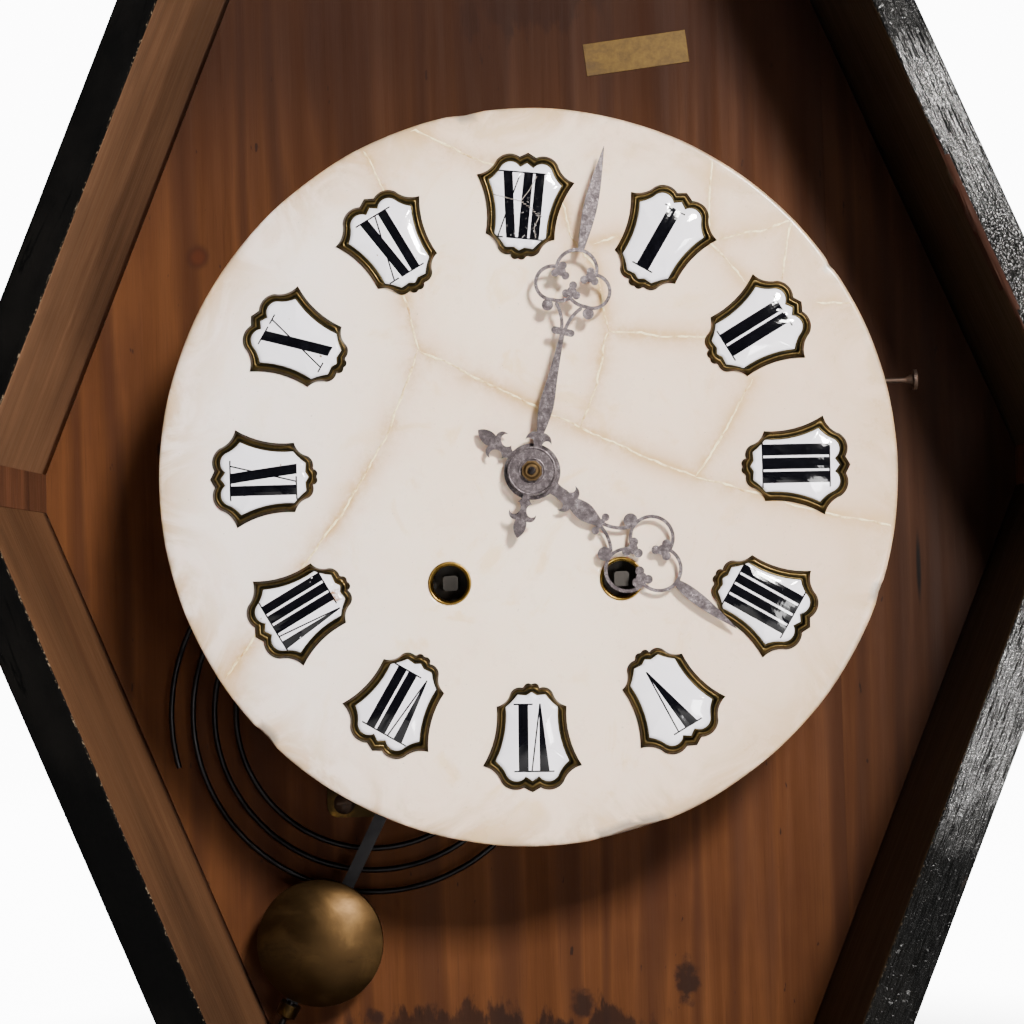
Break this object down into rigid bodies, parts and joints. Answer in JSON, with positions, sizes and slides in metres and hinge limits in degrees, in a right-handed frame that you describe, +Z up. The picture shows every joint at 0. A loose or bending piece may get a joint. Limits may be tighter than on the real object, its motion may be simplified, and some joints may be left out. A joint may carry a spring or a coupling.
{
  "type": "wall clock",
  "caption": "Striking wall clock: open lozenge-shaped wooden case, round alabaster dial with enamel numeral plaques, pierced hands, movement, coiled gong and short pendulum.",
  "frame": {"origin": "where the hands' axis meets the rear face of the back boards", "axes": "+X right seen from the front, +Y into the wall, +Z up"},
  "size_m": [0.48, 0.12, 0.634],
  "materials": {
    "ebonised_wall": "crazed black varnish outside, brown wood inside",
    "stained_pine": "red-brown stained pine with stains",
    "plain_wood": "bare oiled wood",
    "iron": "dull dark iron",
    "label": "blank gilt paper",
    "alabaster": "polished, glued cracks",
    "dark_brass": "tarnished brass",
    "enamel": "glossy white enamel with black numerals",
    "hand_steel": "engraved grey steel",
    "dark_steel": "blued steel",
    "movement_brass": "satin brass",
    "movement_steel": "grey steel"
  },
  "bodies": {
    "case": {"back_board_left": "stained_pine", "back_board_middle": "stained_pine", "back_board_right": "stained_pine", "board_nails": "iron", "corner_blocks": "plain_wood", "dial": "alabaster", "dial_backing": "plain_wood", "dial_pin": "iron", "front_plate": "movement_brass", "gong_base": "dark_brass", "gong_coil": "dark_steel", "gong_post": "dark_brass", "gong_screws": "iron", "hanger_plate": "iron", "label": "label", "movement_blocks": "plain_wood", "numeral_bezels": "dark_brass", "numeral_plaques": "enamel", "pillar_screws": "movement_steel", "pillars": "movement_brass", "rear_plate": "movement_brass", "suspension_cock": "movement_brass", "wall_bottom": "ebonised_wall", "wall_lower_left": "ebonised_wall", "wall_lower_right": "ebonised_wall", "wall_top": "ebonised_wall", "wall_upper_left": "ebonised_wall", "wall_upper_right": "ebonised_wall", "winding_ferrules": "dark_brass", "wood_screws": "iron"},
    "centre": {"centre_wheel": "movement_brass", "cannon_pinion": "movement_steel", "minute_hand": "hand_steel", "hand_nut": "dark_brass"},
    "second": {"second_wheel": "movement_brass"},
    "going_drum": {"going_barrel": "movement_brass", "going_barrel_cap": "movement_brass", "going_mainspring": "dark_steel"},
    "third": {"third_wheel": "movement_brass"},
    "escape": {"escape_wheel": "movement_brass"},
    "minute_wheel": {"minute_wheel": "movement_brass"},
    "hour": {"hour_wheel": "movement_brass", "hour_hand": "hand_steel"},
    "going_key": {"going_winding_arbor": "movement_steel"},
    "strike_key": {"strike_winding_arbor": "movement_steel"},
    "strike_drum": {"strike_barrel": "movement_brass", "strike_barrel_cap": "movement_brass", "strike_mainspring": "dark_steel"},
    "pin": {"pin_wheel": "movement_brass"},
    "warning": {"warning_wheel": "movement_brass"},
    "fly": {"fly": "movement_brass"},
    "hammer": {"hammer": "movement_steel"},
    "going_click": {"going_click": "movement_steel"},
    "strike_click": {"strike_click": "movement_steel"},
    "anchor": {"anchor": "movement_steel"},
    "crutch": {"crutch": "movement_steel"},
    "pendulum": {"pendulum_rod": "dark_steel", "bob_front": "dark_brass", "bob_back": "dark_brass", "rating_nut": "dark_brass"}
  },
  "joints": [
    {"name": "minute_hand_turn", "type": "hinge", "parent": "case", "child": "centre", "pos_m": [0, -0.05, 0], "axis": [0, 1, 0], "continuous": true},
    {"name": "hour_hand_turn", "type": "hinge", "parent": "case", "child": "hour", "pos_m": [0, -0.05, 0], "axis": [0, 1, 0], "continuous": true},
    {"name": "minute_wheel_turn", "type": "hinge", "parent": "case", "child": "minute_wheel", "pos_m": [-0.013, -0.05, 0.00748], "axis": [0, 1, 0], "continuous": true},
    {"name": "second_wheel_turn", "type": "hinge", "parent": "case", "child": "second", "pos_m": [0.01885, -0.05, -0.01173], "axis": [0, 1, 0], "continuous": true},
    {"name": "going_barrel_turn", "type": "hinge", "parent": "case", "child": "going_drum", "pos_m": [0.0348, -0.05, -0.044], "axis": [0, 1, 0], "continuous": true},
    {"name": "third_wheel_turn", "type": "hinge", "parent": "case", "child": "third", "pos_m": [-0.01613, -0.05, -0.01496], "axis": [0, 1, 0], "continuous": true},
    {"name": "escape_wheel_turn", "type": "hinge", "parent": "case", "child": "escape", "pos_m": [0, -0.05, -0.022], "axis": [0, 1, 0], "continuous": true},
    {"name": "pin_wheel_turn", "type": "hinge", "parent": "case", "child": "pin", "pos_m": [-0.04105, -0.05, -0.00855], "axis": [0, 1, 0], "continuous": true},
    {"name": "strike_barrel_turn", "type": "hinge", "parent": "case", "child": "strike_drum", "pos_m": [-0.0348, -0.05, -0.044], "axis": [0, 1, 0], "continuous": true},
    {"name": "warning_wheel_turn", "type": "hinge", "parent": "case", "child": "warning", "pos_m": [-0.02691, -0.05, 0.00831], "axis": [0, 1, 0], "continuous": true},
    {"name": "fly_turn", "type": "hinge", "parent": "case", "child": "fly", "pos_m": [-0.01971, -0.05, 0.02078], "axis": [0, 1, 0], "continuous": true},
    {"name": "going_winding", "type": "hinge", "parent": "case", "child": "going_key", "pos_m": [0.0348, -0.05, -0.044], "axis": [0, 1, 0], "continuous": true},
    {"name": "strike_winding", "type": "hinge", "parent": "case", "child": "strike_key", "pos_m": [-0.0348, -0.05, -0.044], "axis": [0, 1, 0], "continuous": true},
    {"name": "going_click_lift", "type": "hinge", "parent": "case", "child": "going_click", "pos_m": [0.0463, -0.05, -0.0365], "axis": [0, 1, 0], "range_deg": [0, 12]},
    {"name": "strike_click_lift", "type": "hinge", "parent": "case", "child": "strike_click", "pos_m": [-0.0233, -0.05, -0.0365], "axis": [0, 1, 0], "range_deg": [0, 12]},
    {"name": "hammer_lift", "type": "hinge", "parent": "case", "child": "hammer", "pos_m": [-0.056, -0.05, 0.024], "axis": [0, 1, 0], "range_deg": [0, 15]},
    {"name": "anchor_rock", "type": "hinge", "parent": "case", "child": "anchor", "pos_m": [0, -0.05, -0.004], "axis": [0, 1, 0], "range_deg": [-2.5, 2.5]},
    {"name": "pendulum_swing", "type": "hinge", "parent": "case", "child": "pendulum", "pos_m": [0, -0.05, -0.004], "axis": [0, -1, 0], "range_deg": [-1, 52.4]},
    {"name": "crutch_swing", "type": "hinge", "parent": "case", "child": "crutch", "pos_m": [0, -0.05, -0.004], "axis": [0, -1, 0], "range_deg": [-1, 52.4]}
  ],
  "couplings": [
    {"joint": "second_wheel_turn", "follows": "minute_hand_turn", "ratio": -0.15625},
    {"joint": "going_barrel_turn", "follows": "minute_hand_turn", "ratio": 0.022321},
    {"joint": "third_wheel_turn", "follows": "minute_hand_turn", "ratio": -10},
    {"joint": "escape_wheel_turn", "follows": "minute_hand_turn", "ratio": 100},
    {"joint": "minute_wheel_turn", "follows": "minute_hand_turn", "ratio": -0.33333},
    {"joint": "hour_hand_turn", "follows": "minute_hand_turn", "ratio": 0.083333},
    {"joint": "strike_barrel_turn", "follows": "pin_wheel_turn", "ratio": -0.14286},
    {"joint": "warning_wheel_turn", "follows": "pin_wheel_turn", "ratio": -10},
    {"joint": "fly_turn", "follows": "pin_wheel_turn", "ratio": 80},
    {"joint": "crutch_swing", "follows": "pendulum_swing", "ratio": 1}
  ]
}
